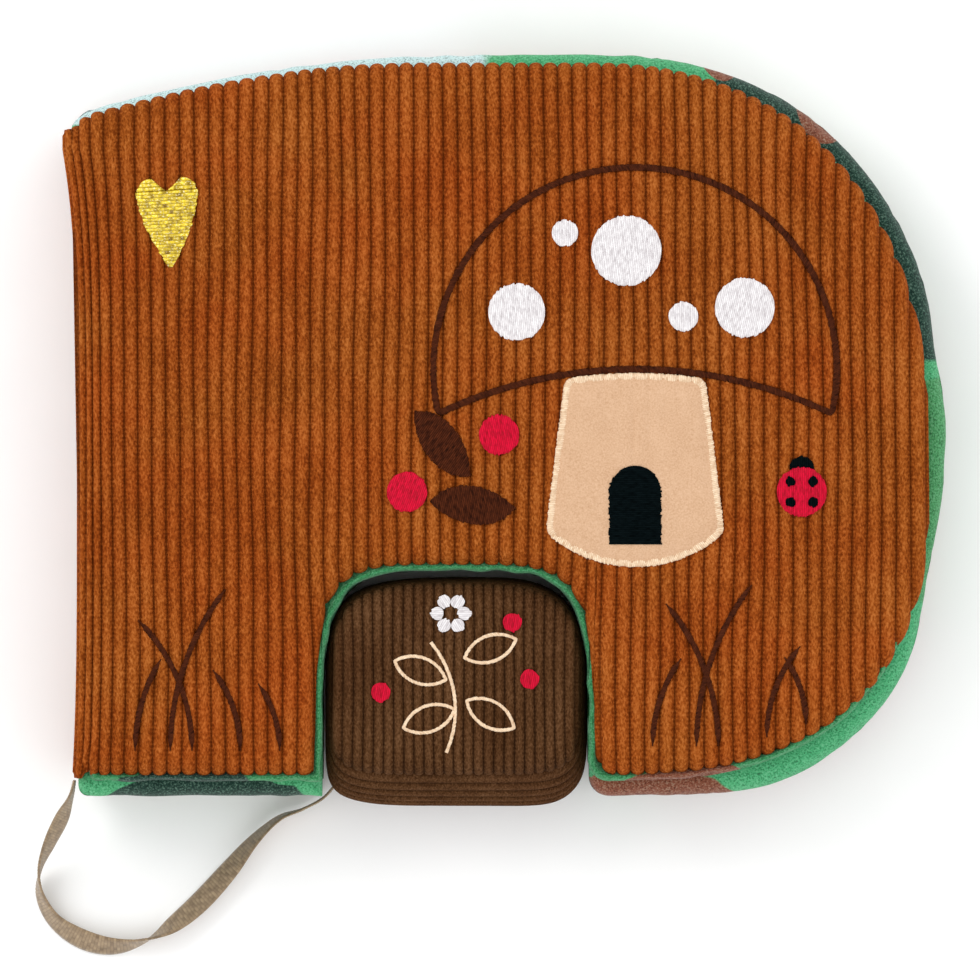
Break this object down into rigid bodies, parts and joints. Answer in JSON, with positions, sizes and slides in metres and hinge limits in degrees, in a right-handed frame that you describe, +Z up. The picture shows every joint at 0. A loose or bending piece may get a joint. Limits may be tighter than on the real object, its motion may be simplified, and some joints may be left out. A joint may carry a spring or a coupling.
{
  "type": "cloth book",
  "caption": "Padded corduroy cloth book with a doorway between its two feet, embroidered cover, padded printed leaves and a small stuffed pad tethered by a ribbon",
  "frame": {"origin": "under the middle of the book, on the surface that it lies on", "axes": "+Z up through the covers, +X from the spine to the fore edge, +Y from the feet to the top edge"},
  "size_m": [0.2093, 0.2069, 0.0399],
  "materials": {
    "rust_corduroy": "wide-ribbed cotton corduroy",
    "brown_corduroy": "fine-ribbed cotton corduroy",
    "green_cotton": "smooth printed cotton",
    "printed_cotton": "smooth cotton with fields of colour",
    "beige_velour": "short-pile velour",
    "cream_thread": "satin stitch",
    "brown_thread": "rayon thread",
    "white_thread": "satin stitch",
    "black_thread": "satin stitch",
    "red_thread": "satin stitch",
    "yellow_thread": "shiny thread in rows",
    "beige_grosgrain": "cross-ribbed ribbon"
  },
  "bodies": {
    "root": {"spine": "rust_corduroy", "pages": "printed_cotton", "pad_top": "brown_corduroy", "pad_side_band": "brown_corduroy", "pad_base": "brown_corduroy", "pad_outline": "cream_thread", "pad_daisy": "white_thread", "pad_berries": "red_thread", "ribbon": "beige_grosgrain"},
    "front_cover": {"front_cover_face": "rust_corduroy", "front_cover_lining": "green_cotton", "toadstool_outline": "brown_thread", "stem_patch": "beige_velour", "stem_border": "cream_thread", "door_patch": "black_thread", "white_spots": "white_thread", "red_berries": "red_thread", "leaf_patches": "brown_thread", "ladybird_shell": "red_thread", "ladybird_marks": "black_thread", "grass_stitching": "brown_thread", "heart_patch": "yellow_thread"},
    "back_cover": {"back_cover_face": "rust_corduroy", "back_cover_lining": "green_cotton"}
  },
  "joints": [
    {"name": "front_cover_hinge", "type": "hinge", "parent": "root", "child": "front_cover", "pos_m": [-0.099, 0, 0.0313], "axis": [0, -1, 0], "range_deg": [0, 180]},
    {"name": "back_cover_hinge", "type": "hinge", "parent": "root", "child": "back_cover", "pos_m": [-0.099, 0, 0.007], "axis": [0, 1, 0], "range_deg": [0, 180]}
  ]
}
